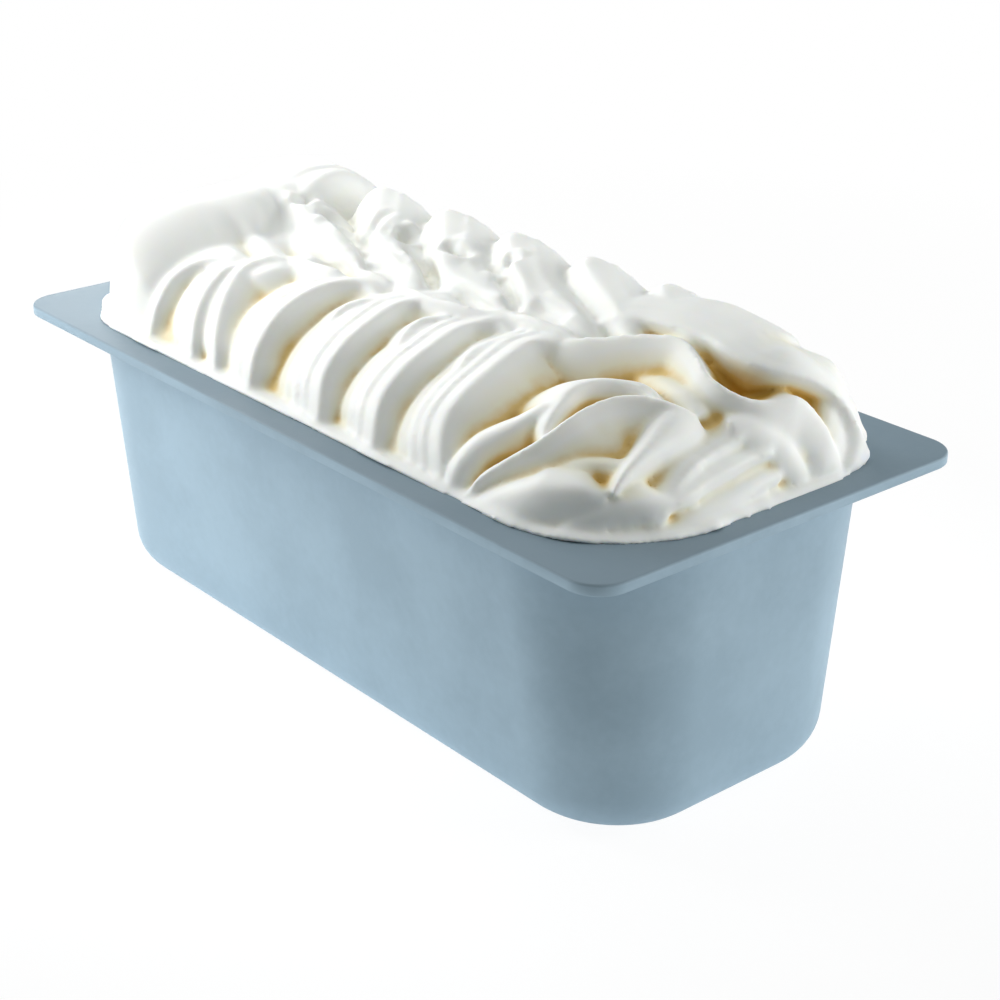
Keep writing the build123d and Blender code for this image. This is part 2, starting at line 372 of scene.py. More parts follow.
def base_rows(floor, inset, radius):
    """Rows of one side of the base, from its middle over the flat and up the round."""
    flat = shrunk_rings(body_section(floor, inset) - radius, np.linspace(0.96, 0.1, 6))
    angle = np.linspace(np.pi / 2, 0, 13)
    z = floor + radius * (1 - np.sin(angle))
    section = body_section(z, inset) - (radius * (1 - np.cos(angle)))[:, None]
    return np.column_stack([np.concatenate([flat, section]), np.append(np.full(len(flat), floor), z)])


def pan_profile(settings):
    """Sections and heights from the base's middle, up the outside, over the flange and down inside.

    Each round is a quarter circle in the section's inset and height; the walls lean linearly.
    """
    rows = [base_rows(0.0, 0.0, settings.base_round)]

    def add(section, z):
        rows.append(np.column_stack([np.atleast_2d(section), np.atleast_1d(z)]))

    under = RIM - FLANGE_THICK
    z = np.linspace(settings.base_round, under - NECK_ROUND, 9)[1:]
    add(body_section(z, 0.0), z)
    turn = np.linspace(0, np.pi / 2, 6)[1:]
    z = under - NECK_ROUND * (1 - np.sin(turn))
    add(body_section(z, 0.0) + NECK_ROUND * (1 - np.cos(turn))[:, None], z)
    flange = np.array([HALF_LENGTH, HALF_WIDTH, settings.flange_corner])
    add(flange - LIP_THICK, under)
    add(flange - LIP_THICK, RIM - LIP_DEPTH)
    add(flange - LIP_BEVEL, RIM - LIP_DEPTH)
    add(flange, RIM - LIP_DEPTH + LIP_BEVEL)
    turn = np.linspace(0, np.pi / 2, 6)
    z = RIM - FLANGE_ROUND * (1 - np.sin(turn))
    add(flange - FLANGE_ROUND * (1 - np.cos(turn))[:, None], z)
    turn = np.linspace(0, np.pi / 2, 7)
    z = RIM - settings.rim_roll * (1 - np.cos(turn))
    add(body_section(RIM, settings.wall) + settings.rim_roll * (1 - np.sin(turn))[:, None], z)
    z = np.linspace(RIM - settings.rim_roll, settings.base_round, 9)[1:-1]
    add(body_section(z, settings.wall), z)
    rows.append(base_rows(settings.wall, settings.wall, settings.base_round - settings.wall)[::-1])
    return np.concatenate(rows)


class PAN_OT_tub(bpy.types.Operator):
    """Adds the moulded plastic pan"""

    bl_idname = "pan.tub"
    bl_label = "Pan"

    def execute(self, context):
        settings = context.scene.pan_settings
        mesh = join_solids("pan_tub", [loft(pan_profile(settings))])
        make_piece("pan_tub", mesh, frosted_polypropylene(settings), "tub")
        return {"FINISHED"}


# ---------------------------------------------------------------- ice cream heap

FILL_GAP = 0.05 * MM  # between the ice cream and the pan's wall
HEAP_FLOOR = 7 * MM  # how far the folded skin reaches down into the pan, onto the plain fill
# How far in from each side of the opening the mound climbs to its full height.
FRONT_FLANK = 55 * MM
BACK_FLANK = 44 * MM
LEFT_FLANK = 15 * MM
RIGHT_FLANK = 30 * MM
EDGE_FLANK = 15 * MM
CORNER_FLANK = 70 * MM  # RIGHT_FLANK grows to this towards the front
CORNER_START = 10 * MM
CROWN_START = -20 * MM
CROWN_RUN = 50 * MM
# The smeared edge, in mm: the height over the rim at which it leaves the wall, and its profile
# out from the wall and up from the rim.
SMEAR_START = -2.4
SMEAR = ((0.4, -1.2), (1.4, -0.6), (3.0, -0.1), (4.6, 0.1), (5.2, 1.2), (4.2, 2.1), (1.8, 2.6))
# The smooth -X end, in mm: where the folds take over, over what run, and how much further it
# reaches between the two rows; where its bulge begins to fade, how much later at the back, and
# over what run; and how far in from the end, the front and the back it climbs to full height.
FOLDS_START, FOLDS_RUN, TONGUE = -113, 21, 50
BULGE_END, BULGE_LATER, BULGE_FADE = -141, 12, 78
BULGE_RUNS = (32, 46, 50)
OPEN_INSET = 0.8 * MM  # how far in the core's foot stands where it shows
SUNK_INSET = 4 * MM  # and where folds lie on it
SUNK_DEPTH, SUNK_DEEPER = 13, 7  # how far it sinks under them, and how much more at the back, mm
RIB_PITCH = 6.5  # of the front folds' ribs, in mm
FOLD_POINTS = 90  # along a fold's crest
SIDE_POINTS = 28  # over each of its sides
CREASE_POINTS = 60  # along a pressed crease
TOP_RINGS = 70  # over the core's top
NORMAL_SPAN = 9  # crest points over which the mound's normal is averaged
SHOULDER, SHOULDER_PLACE = 0.28, 2.1  # height beside a pressed crease, and where, in its widths
RELAX_ROUNDS = 2  # of smoothing, before and after the creases are pressed
# Painted crease shade: the depth under the mound where it starts and its run to full, in mm; rounds
# of smoothing and the gap in mm that is a full hollow; and what a painted warm hollow adds.
DEEP_START, DEEP_RUN = 2, 10
HOLLOWS = ((12, 0.8), (80, 2.4))
HOLLOW_SHADE_AMOUNT = 0.45

# Crest lines in mm, from each ribbon's start to its tip: x, y and height over the rim.
FRONT_FOLDS = (
    [(-101, -76, -3), (-101, -74, 6), (-102, -69, 16), (-104, -60, 24), (-101, -50, 29),
     (-92, -43, 31), (-80, -42, 28)],
    [(-67, -76, -2), (-70, -74, 9), (-75, -68, 18), (-80, -59, 25), (-83, -49, 30), (-84, -42, 30),
     (-82, -36, 27)],
    [(-51, -76, -2), (-54, -74, 8), (-60, -69, 16), (-69, -58, 25), (-76, -46, 31), (-77, -37, 33),
     (-72, -31, 34), (-62, -33, 31)],
    [(-25, -77, -2), (-28, -75, 8), (-31, -69, 17), (-33, -57, 27), (-34, -43, 32), (-32, -31, 34),
     (-26, -23, 34), (-14, -25, 31)],
    [(20, -77, -2), (16, -75, 7), (11, -68, 18), (9, -56, 27), (7, -42, 32), (4, -29, 34),
     (5, -21, 34), (10, -17, 34), (22, -20, 31)],
    [(53, -77, -2), (49, -75, 7), (45, -68, 18), (44, -56, 27), (43, -42, 32), (40, -29, 34),
     (39, -20, 34), (43, -14, 35), (54, -15, 31)],
    [(90, -76, -2), (84, -73, 9), (78, -66, 19), (76, -56, 26), (74, -42, 31), (71, -28, 34),
     (69, -18, 35), (74, -13, 35), (81, -12, 32)],
)
# Width of each front fold's gentle side.
FRONT_BACKS = (24, 26, 17, 32, 38, 34, 36)
# And of its steep side: one number, or numbers spread evenly along the crest.
FRONT_FACES = (9, 9, (9, 11, 14, 18, 17, 10), 10, 10, 11, (9, 13, 16, 17, 14, 9))
# Thin folds that lie on the gentle sides of the front ones.
SLIP_FOLDS = (
    [(-8, -58, 22), (-12, -47, 29), (-13, -38, 32), (-9, -31, 33), (0, -27, 33), (10, -28, 29)],
    [(29, -52, 25), (25, -43, 30), (21, -34, 32), (21, -28, 33), (26, -23, 33), (38, -24, 29)],
    [(65, -52, 25), (59, -42, 30), (55, -32, 32), (56, -24, 33), (60, -17, 34), (72, -16, 30)],
)
FAN_MIDDLE = (-80 * MM, -36 * MM)  # where the soft grooves of the smooth -X end meet
BACK_LOBES = (
    [(-138, 68, 8), (-144, 54, 29), (-148, 34, 42), (-138, 18, 44), (-116, 6, 42), (-90, -1, 39),
     (-66, -8, 37), (-44, -14, 34), (-34, -18, 30)],
    [(-96, 74, 10), (-97, 58, 35), (-92, 38, 47), (-80, 26, 47), (-64, 12, 43), (-48, 1, 39),
     (-30, -5, 37), (-12, -10, 35), (0, -13, 31)],
    [(-52, 74, 10), (-53, 58, 35), (-48, 38, 47), (-36, 26, 47), (-20, 13, 43), (-4, 3, 39),
     (18, -3, 37), (36, -6, 36), (46, -8, 31)],
    [(-12, 74, 10), (-12, 58, 35), (-6, 38, 47), (4, 27, 47), (18, 16, 45), (34, 8, 41), (54, 3, 39),
     (72, 0, 38), (84, -2, 33)],
    [(30, 74, 10), (31, 58, 35), (37, 40, 47), (46, 30, 47), (60, 22, 46), (76, 14, 44), (88, 8, 41),
     (98, 4, 36)],
    [(74, 74, 8), (74, 58, 33), (78, 42, 46), (86, 31, 47), (98, 24, 46), (116, 18, 43)],
    [(110, 73, 6), (110, 59, 29), (112, 46, 41), (118, 35, 44), (130, 27, 43)],
)
BACK_SIDES = (0.7, 0.95, 1, 1, 1, 1, 0.8)  # how wide each lobe's gentle side is, as a share
# Pits and creases pressed into the lobes and the smooth end: line, width and depth, in mm.
CREASES = (
    ([(-113, 14, 44), (-107, 5, 42)], 3.0, 5),
    ([(-97, 7, 41), (-92, 10, 41), (-85, 9, 40)], 3.2, 6),
    ([(-51, 13, 42), (-47, 15, 42), (-43, 10, 40)], 3.2, 6),
    ([(-23, 14, 42), (-14, 14, 43), (-5, 16, 42)], 3.0, 5),
    ([(9, 18, 44), (18, 16, 45)], 3.0, 5),
    ([(-85, 9, 40), (-71, 5, 38), (-64, 5, 36)], 2.4, 3.2),
    ([(-62, 24, 45), (-65, 18, 45), (-61, 8, 41), (-63, 5, 37), (-52, -1, 36), (-35, -5, 36),
      (-16, -10, 35)], 2, 2.6),
    ([(-43, 10, 40), (-33, 7, 38), (-26, 6, 36), (-17, 3, 34), (-2, -6, 33)], 2.4, 3.2),
    ([(-82, -11, 33), (-63, -13, 32), (-48, -15, 33), (-32, -21, 34)], 3.4, 3.6),
    ([(-46, -7, 32), (-35, -7, 33), (-18, -9, 35)], 2.6, 3),
    ([(5, -4, 34), (17, -5, 35), (30, -6, 36), (41, 0, 35)], 2.6, 3.2),
    ([(3, 19, 40), (18, 11, 40), (27, 7, 38), (42, -2, 35)], 2.2, 2.8),
    ([(43, 3, 38), (54, 2, 38), (66, 1, 38)], 3, 3.2),
    ([(-60, 11, 42), (-57, 5, 40), (-46, 1, 39), (-31, -1, 38), (-18, -5, 36)], 1.8, 1.6),
    ([(-134, 3, 41), (-115, 0, 38), (-99, -5, 36), (-86, -11, 34)], 3, 2.2),
    ([(-122, -6, 36), (-102, -8, 34), (-82, -17, 32), (-64, -29, 33)], 4.4, 2.4),
    ([(-123, -26, 33), (-106, -26, 32), (-80, -36, 33)], 3, 2),
)
# Thin strips where the front row meets the back row.
BACK_STRIPS = (
    [(-84, -20, 32), (-68, -24, 35), (-54, -25, 35), (-40, -24, 35), (-26, -21, 31)],
    [(-20, -12, 32), (-4, -15, 35), (12, -16, 36), (30, -14, 36), (46, -9, 33)],
    [(30, -8, 33), (48, -7, 37), (62, -7, 38), (74, -6, 38), (84, -8, 33)],
)
# Swell of the ribbons, as sweep_fold takes it.
BLUNT = (0.5, 0.6, 0.12)
GROWING = (0.05, 0.35, 0.35)
TAPERED = (0.5, 0.1, 0.25)
# Ribbons of the swirl: crest line, sides, powers, swell and ribs, as sweep_fold takes them. A
# power under 1 is sharp and one over 1 is rounded.
SWIRL = {
    "spine": (
        [(-54, -26, 28), (-30, -24, 30), (0, -21, 30), (40, -17, 30), (70, -13, 29)],
        (15, 16, 14), (2.2, 2.2), (0.05, 0.1, 0.3)),
    "rear": (
        [(70, 8, 34), (82, 8, 41), (93, 12, 43), (106, 13, 44), (122, 13, 44), (134, 11, 43),
         (146, 12, 41), (153, 17, 39), (158, 26, 36), (162, 38, 28), (165, 50, 14), (165, 58, 2)],
        (5, (30, 36, 30, 16, 8), 18), (0.9, 2.6), TAPERED, (6, 0.6, 0)),
    "rear_end": (
        [(112, 44, 42), (130, 44, 40), (145, 48, 33), (155, 55, 20), (157, 63, 6)],
        (16, 16, 16), (2.4, 2.4), TAPERED),
    "upper": (
        [(66, -15, 29), (78, -9, 36), (90, -1, 39), (104, 7, 42), (116, 9, 43), (129, 4, 41),
         (138, -1, 39), (147, -2, 37), (154, 2, 34), (158, 10, 32), (160, 19, 32)],
        ((12, 19, 22, 19, 15, 13), 6, (12, 16, 18, 18)), (1.4, 0.9), TAPERED),
    "tail": (
        [(150, -4, 26), (156, 4, 31), (159, 12, 32), (161, 20, 32), (163, 26, 27), (166, 32, 18),
         (166.5, 37, 8), (166.5, 40, -2)],
        ((14, 22, 26, 20, 12), 4, (9, 13, 13, 11)), (2.4, 0.9), TAPERED),
    "arch": (
        [(120, -61, 19), (116, -53, 27), (113, -44, 31), (111, -36, 34), (113, -28, 35), (118, -22, 35),
         (126, -19, 35), (136, -20, 32)],
        (5, (7, 16, 24, 26, 20, 13, 8), 13), (1.5, 1.5), TAPERED),
    "broad": (
        [(101, -76, 2), (106, -74, 9), (114, -69, 17), (121, -62, 24), (124, -52, 30), (125, -43, 33),
         (128, -34, 35), (134, -26, 35), (142, -20, 33), (149, -15, 29)],
        ((11, 14, 17, 17, 14, 11), 6, 14), (0.8, 2.2), TAPERED),
    "petal": (
        [(142, -17, 32), (146, -24, 31), (149, -33, 28), (151, -42, 25), (153, -52, 21),
         (155, -59, 16)],
        ((11, 10, 7, 5, 4), (17, 14, 9, 6, 4), 12), (2.0, 2.2), TAPERED),
    "corner": (
        [(162, -46, 9), (161, -38, 14), (160, -29, 19), (159, -20, 21), (159, -11, 23), (160, -3, 25),
         (161, 4, 25), (162, 9, 23)],
        (6, 11, 11), (1.8, 0.9), GROWING),
    "cheek": (
        [(156, -8, 27), (161, 1, 25), (164, 9, 20), (166, 15, 11), (167, 21, 2)],
        ((8, 13, 13, 10), 9, 10), (2.4, 2.2), TAPERED),
    "low": (
        [(162, -50, 7), (164, -42, 10), (165, -34, 12), (164, -26, 14), (164, -14, 16), (164, -4, 17),
         (165, 5, 17)],
        (6, 6, 7), (1.8, 1.2), GROWING),
    "rimlow": (
        [(166, -44, 0), (166.5, -34, 2), (167, -24, 3.5), (167, -12, 5), (166.5, 0, 6.5), (166, 9, 7)],
        (7, 9, 7), (1.8, 1.6), GROWING),
    "foot": (
        [(103, -77, -1), (113, -76, 4), (124, -75, 9), (133, -73, 12), (141, -69, 14), (147, -65, 15),
         (152, -60, 14)],
        ((10, 16, 20, 20, 18, 12), (5, 7, 8, 8, 6, 4), (6, 10, 10)), (2.2, 2.4), TAPERED),
    "bed": (
        [(106, -3, 28), (117, -4, 31), (127, -6, 32), (137, -9, 32), (146, -12, 29)],
        (9, 9, 9), (2.2, 2.2), GROWING),
    "under": (
        [(125, -66, 12), (133, -58, 19), (141, -51, 21), (149, -46, 21)],
        (7, 7, 8), (2.0, 2.0), GROWING),
    "toe": (
        [(132, -76, -5), (141, -72, 1), (148, -66, 6), (154, -59, 10), (160, -50, 12), (163, -41, 12)],
        ((8, 12, 14, 14, 12), 7, 8), (2.4, 1.4), TAPERED),
    "wedge": (
        [(92, -77, -1), (92, -74, 8), (95, -68, 16), (100, -62, 21), (105, -56, 25), (108, -48, 29),
         (108, -40, 30)],
        ((11, 10, 8, 5, 4), (10, 12, 14, 14, 12), 12), (2.0, 1.8), BLUNT),
}

# Hollows of the swirl painted deep golden, as painted shade: x, y, height over the rim and reach, in mm.
PAINTED_HOLLOW_SHADE = (
    (117, -51, 23, 8), (116, -41, 26, 8), (118, -31, 28, 7), (141, 3, 30, 8), (149, 7, 29, 6),
    (159, -47, 10, 4), (165, 8, 12, 4),
)


def smooth_step(t):
    """0 to 1 with flat ends."""
    t = np.clip(t, 0, 1)
    return t * t * (3 - 2 * t)


def ramp(value, start, run):
    """0 up to start, 1 from a run past it, with flat ends; start and run are in mm."""
    return smooth_step((value - start * MM) / (run * MM))


def flank(distance, run):
    """Quarter ellipse: 0 at the heap's foot, 1 a run further in."""
    t = np.clip(distance / run, 0, 1)
    return np.sqrt(t * (2 - t))


def outline_gap(x, y, section):
    """Distance in from the edge of a rounded rectangle."""
    half_length, half_width, corner = section
    past_x = np.abs(x) - (half_length - corner)
    past_y = np.abs(y) - (half_width - corner)
    outside = np.hypot(np.maximum(past_x, 0), np.maximum(past_y, 0))
    inside = np.minimum(np.maximum(past_x, past_y), 0)
    return corner - outside - inside


def mound(x, y, settings, shrink=0.0):
    """Height over the rim of the smooth surface that the crests touch.

    The least of five quarter-ellipse flanks, times a crown that climbs from front to back;
    shrink moves the foot of every flank inwards.
    """
    section = body_section(RIM, WALL)
    half_length, half_width, _ = section
    rise = settings.crown - settings.front_crest
    crown = settings.front_crest + rise * smooth_step((y - CROWN_START) / CROWN_RUN)
    frontward = smooth_step((CORNER_START - y) / half_width)
    sides = [
        flank(y + half_width - shrink, FRONT_FLANK),
        flank(half_width - y - shrink, BACK_FLANK),
        flank(x + half_length - shrink, LEFT_FLANK),
        flank(half_length - x - shrink, RIGHT_FLANK + (CORNER_FLANK - RIGHT_FLANK) * frontward),
        flank(outline_gap(x, y, section) - shrink, EDGE_FLANK),
    ]
    return crown * np.minimum.reduce(sides)


def mound_normal(x, y, settings, step=2 * MM):
    """Outward unit normal of the mound, from its slopes over a small step."""
    slope_x = (mound(x + step, y, settings) - mound(x - step, y, settings)) / (2 * step)
    slope_y = (mound(x, y + step, settings) - mound(x, y - step, settings)) / (2 * step)
    normal = np.stack([-slope_x, -slope_y, np.ones_like(slope_x)], -1)
    return normal / np.linalg.norm(normal, axis=-1, keepdims=True)


def smooth_path(points_mm, count):
    """Catmull-Rom curve through points whose height is over the rim, at even steps of its length."""
    p = np.array(points_mm, float) * MM + [0, 0, RIM]
    p = np.concatenate([[2 * p[0] - p[1]], p, [2 * p[-1] - p[-2]]])
    t = np.linspace(0, 1, 24, endpoint=False)[:, None]
    spans = [
        0.5 * (2 * b + (c - a) * t + (2 * a - 5 * b + 4 * c - d) * t**2 + (3 * b - a - 3 * c + d) * t**3)
        for a, b, c, d in zip(p[:-3], p[1:-2], p[2:-1], p[3:])
    ]
    dense = np.concatenate(spans + [p[-2:-1]])
    length = np.concatenate([[0], np.cumsum(np.linalg.norm(np.diff(dense, axis=0), axis=1))])
    even = np.linspace(0, length[-1], count)
    return np.stack([np.interp(even, length, dense[:, k]) for k in range(dense.shape[1])], -1)


def along(value, s):
    """Value at each share s of a path's length, from one number or from numbers spread evenly."""
    value = np.atleast_1d(value)
    return np.interp(s, np.linspace(0, 1, len(value)), value)


def sweep_fold(settings, points_mm, sides, powers, swell, ribs=(0, 0.0, 0)):
    """Carries a fold's section along its crest: point = crest + side vector x a + up vector x h.

    The side vector is tangent x mound normal. sides gives the widths right and left of the crest
    and the depth, in mm. Each side falls as depth x (share of its width) ^ its power, and half an
    ellipse closes the section. swell gives the size at the start and the end, and the share of
    the length over which the ends round off. ribs gives how many teeth a sawtooth cuts into the
    left side, their depth in mm, and their share of that depth on the right.
    """
    path = smooth_path(points_mm, FOLD_POINTS)
    normal = mound_normal(path[:, 0], path[:, 1], settings)
    kernel = np.ones(NORMAL_SPAN) / NORMAL_SPAN
    padded = np.pad(normal, ((NORMAL_SPAN // 2,) * 2, (0, 0)), mode="edge")
    normal = np.stack([np.convolve(padded[:, k], kernel, mode="valid") for k in range(3)], -1)
    tangent = np.gradient(path, axis=0)
    tangent /= np.linalg.norm(tangent, axis=1, keepdims=True)
    side = np.cross(tangent, normal)
    side /= np.linalg.norm(side, axis=1, keepdims=True)
    up = np.cross(side, tangent)

    start, end, run = swell
    s = np.linspace(0, 1, FOLD_POINTS)
    rise = start + (1 - start) * np.sqrt(1 - (1 - np.clip(s / run, 0, 1)) ** 2)
    fall = end + (1 - end) * np.sqrt(1 - (1 - np.clip((1 - s) / run, 0, 1)) ** 2)
    right, left, depth = ((along(value, s) * rise * fall * MM)[:, None] for value in sides)

    a = np.linspace(0, 1, SIDE_POINTS)
    turn = np.linspace(0, np.pi, SIDE_POINTS // 2)[1:-1]
    count, cut, right_share = ribs
    teeth = cut * MM * ((count * a**1.2) % 1) ** 1.3 * np.clip(3 * (1 - a), 0, 1)
    right_side = -depth * a ** powers[0] - teeth * right_share
    left_side = -depth * a ** powers[1] - teeth
    below = -depth * (1 + 0.4 * np.sin(turn))
    middle, reach = (right - left) / 2, (right + left) / 2
    across = np.concatenate([right * a, middle + reach * np.cos(turn), (-left * a)[:, :0:-1]], 1)
    height = np.concatenate([right_side, below, left_side[:, :0:-1]], 1)
    return path[:, None] + across[..., None] * side[:, None] + height[..., None] * up[:, None]


def all_folds(settings):
    """Every fold and ribbon of the heap, as grids of points.

    Each is given as its crest line, sides, powers, swell and ribs.
    """
    folds = []
    for points, back, face in zip(FRONT_FOLDS, FRONT_BACKS, FRONT_FACES):
        ribs = (max(round(back / RIB_PITCH), 2), 1.3, 0)
        folds.append((points, (face, back, 11), (0.85, 2.1), (0.9, 0.1, 0.2), ribs))
    folds += [(points, (6, 12, 8), (0.9, 1.6), (0.05, 0.05, 0.5), (2, 0.8, 0)) for points in SLIP_FOLDS]
    for points, share in zip(BACK_LOBES, BACK_SIDES):
        sides = ((17, 13, 15, 14, 8), share * np.array([25, 30, 27, 19, 9]), (20, 21, 16, 11))
        folds.append((points, sides, (1.9, 2.8), (0.8, 0.1, 0.25), (4, 1.0, 1)))
    folds += [(points, (9, 5, 9), (2.2, 1.0), (0.1, 0.1, 0.4)) for points in BACK_STRIPS]
    return [sweep_fold(settings, *fold) for fold in folds + list(SWIRL.values())]


def dome(x, y, section, power=2.5):
    """Share of full height of the rounded -X end: (1 - sum of (1 - t)^p)^(1/p).

    Each t goes from 0 at a side of the opening to 1 at that side's run further in.
    """
    half_length, half_width, _ = section
    gaps = (x + half_length, y + half_width, half_width - y)
    falls = sum((1 - np.clip(gap / (run * MM), 0, 1)) ** power for gap, run in zip(gaps, BULGE_RUNS))
    inside = flank(outline_gap(x, y, section) - OPEN_INSET, 8 * MM)
    return np.maximum(1 - falls, 0) ** (1 / power) * inside


def smeared_edge():
    """Rings of the core's sides: up the pan's wall, then out over the rim as a smeared lip.

    At the front the lip's reach wavers round the opening by a sum of sines of the angle.
    """
    inset = WALL + FILL_GAP
    low = RIM - 2 * HEAP_FLOOR
    rows = [np.append(body_section(low, inset + step * MM), low) for step in (30, 15, 0.5)]
    rows += [np.append(body_section(z, inset), z) for z in np.linspace(low, RIM + SMEAR_START * MM, 6)]
    rows += [np.append(body_section(RIM, inset - out * MM), RIM + up * MM) for out, up in SMEAR]
    rings = loft(np.array(rows))
    x, y = rings[-1, :, 0], rings[-1, :, 1]
    angle = np.arctan2(y / HALF_WIDTH, x / HALF_LENGTH)
    lumps = np.sin(23 * angle) * np.sin(9 * angle + 1) + 0.6 * np.sin(41 * angle + 2)
    lumps += 0.8 * np.sin(14 * angle)
    reach = 0.7 + (0.17 + 0.09 * lumps) * (y < 0)
    first = len(rows) - len(SMEAR)
    rings[first:] = rings[first - 1] + (rings[first:] - rings[first - 1]) * reach[:, None]
    return rings


def core_height(x, y, edge, settings):
    """Height over the rim of the core's top.

    At the -X end it is a smooth bulge with soft grooves that fan out; elsewhere it is the mound,
    drawn in and lowered (sunk) so that the folds lie on it.
    """
    between = TONGUE * MM * ramp(y, -52, 10) * (1 - ramp(y, -12, 20))
    sunk = smooth_step((x + 0.3 * np.maximum(y, 0) - FOLDS_START * MM - between) / (FOLDS_RUN * MM))
    back_corner = ramp(x, 92, 18) * ramp(y, 28, 10)
    sunk *= 1 - 0.6 * back_corner
    start = BULGE_END * MM + BULGE_LATER * MM * ramp(y, -60, 50)
    bulge = settings.bulge * dome(x, y, edge) * (1 - smooth_step((x - start) / (BULGE_FADE * MM)))
    bulge *= 0.97 + 0.07 * ramp(y, -55, 45)
    full = np.maximum(mound(x, y, settings, OPEN_INSET) - 1 * MM * (x > -130 * MM), bulge)
    away = np.hypot(x - FAN_MIDDLE[0], y - FAN_MIDDLE[1])
    turn = np.arctan2(y - FAN_MIDDLE[1], FAN_MIDDLE[0] - x) + away / (150 * MM)
    fan = ramp(away, 0, 14) * (1 - ramp(away, 28, 34)) * (np.cos(turn - 0.6) > 0)
    full = full - 1.6 * MM * fan * np.abs(np.sin(4.5 * turn)) ** 3
    drawn_in = mound(x, y, settings, SUNK_INSET)
    low = drawn_in - np.minimum((SUNK_DEPTH + SUNK_DEEPER * ramp(y, 0, 20)) * MM, 0.6 * drawn_in)
    height = full * (1 - sunk) + low * sunk
    return np.maximum(height, SMEAR[-1][1] * MM * 0.6)


def core_grid(settings):
    """Solid core: the fill up to the rim, its smeared lip, then rings in over the core's top."""
    edge = body_section(RIM, WALL + FILL_GAP)
    x, y = rounded_ring(shrunk_rings(edge, np.linspace(0, 1, TOP_RINGS) ** 1.3))
    top = np.stack([x, y, RIM + core_height(x, y, edge, settings)], -1)
    return np.concatenate([smeared_edge(), top])


def melt_together(mesh, voxel):
    """One closed skin round all the folds, at the given cell size."""
    ob = bpy.data.objects.new("melt", mesh)
    bpy.context.collection.objects.link(ob)
    remesh = ob.modifiers.new("melt", "REMESH")
    remesh.mode = "VOXEL"
    remesh.voxel_size = voxel
    depsgraph = bpy.context.evaluated_depsgraph_get()
    skin = bpy.data.meshes.new_from_object(ob.evaluated_get(depsgraph))
    bpy.data.objects.remove(ob)
    return skin


def press_crease(points, normals, line, width, depth):
    """Sinks a crease into the skin: depth x exp(-(gap / width)^2), with a low shoulder each side.

    gap is a point's distance from the line, where heights count a third; the depth fades to 0
    at the line's ends and on sides that face down.
    """
    path = smooth_path(line, CREASE_POINTS)
    width, depth = width * MM, depth * MM
    low, high = path.min(axis=0) - 5 * width, path.max(axis=0) + 5 * width
    near = np.all((points > low) & (points < high), axis=1)
    gaps = np.linalg.norm((points[near, None] - path) * [1, 1, 0.33], axis=2)
    share = gaps.argmin(axis=1) / (len(path) - 1)
    gap = gaps.min(axis=1) / width
    shape = SHOULDER * np.exp(-((gap - SHOULDER_PLACE) ** 2)) - np.exp(-(gap**2))
    ends = np.clip(5 * share * (1 - share), 0, 1)
    shift = depth * shape * ends * np.clip(2 * normals[near, 2] + 0.6, 0, 1)
    moved = points.copy()
    moved[near] += shift[:, None] * normals[near]
    return moved


def hold_in_pan(points, wall):
    """Draws the points below the flange's top in to the pan's inner wall and its rounded rim.

    A point is a place in the rounded rectangle's core plus an offset; the offset is shortened to
    the corner radius.
    """
    x, y, z = points.T
    out, up = np.array([(0, SMEAR_START), *SMEAR[:3]]).T * MM
    half_length, half_width, corner = body_section(z, wall + FILL_GAP - np.interp(z - RIM, up, out)).T
    core_x = np.clip(x, corner - half_length, half_length - corner)
    core_y = np.clip(y, corner - half_width, half_width - corner)
    offset = np.hypot(x - core_x, y - core_y)
    share = np.where(z < RIM + up[-1], np.minimum(corner / np.maximum(offset, 1e-9), 1), 1)
    return np.column_stack([core_x + (x - core_x) * share, core_y + (y - core_y) * share, z])


def cut_flat(mesh, z):
    """Cuts the mesh at a height, drops what is below and closes the cut."""
    work = bmesh.new()
    work.from_mesh(mesh)
    geometry = work.verts[:] + work.edges[:] + work.faces[:]
    cut = bmesh.ops.bisect_plane(
        work, geom=geometry, plane_co=(0, 0, z), plane_no=(0, 0, 1), clear_inner=True
    )
    rim = [e for e in cut["geom_cut"] if isinstance(e, bmesh.types.BMEdge)]
    bmesh.ops.contextual_create(work, geom=rim)
    bmesh.ops.recalc_face_normals(work, faces=work.faces[:])
    work.to_mesh(mesh)
    work.free()


def mesh_arrays(mesh):
    """Vertex positions and edges as arrays."""
    points = np.empty(len(mesh.vertices) * 3)
    mesh.vertices.foreach_get("co", points)
    edges = np.empty(len(mesh.edges) * 2, int)
    mesh.edges.foreach_get("vertices", edges)
    return points.reshape(-1, 3), edges.reshape(-1, 2)


def vertex_normals(mesh):
    """Unit normal of every vertex."""
    normals = np.empty(len(mesh.vertices) * 3)
    mesh.vertex_normals.foreach_get("vector", normals)
    return normals.reshape(-1, 3)


def relax(values, edges, rounds, share=0.5):
    """Moves each value towards the mean of its neighbours, a number of rounds."""
    count = len(values)
    ends = np.concatenate([edges[:, 0], edges[:, 1]])
    others = np.concatenate([edges[:, 1], edges[:, 0]])
    degree = np.bincount(ends, minlength=count)[:, None]
    for _ in range(rounds):
        near = values[others]
        mean = np.stack([np.bincount(ends, near[:, k], count) for k in range(values.shape[1])], -1) / degree
        values = values + share * (mean - values)
    return values


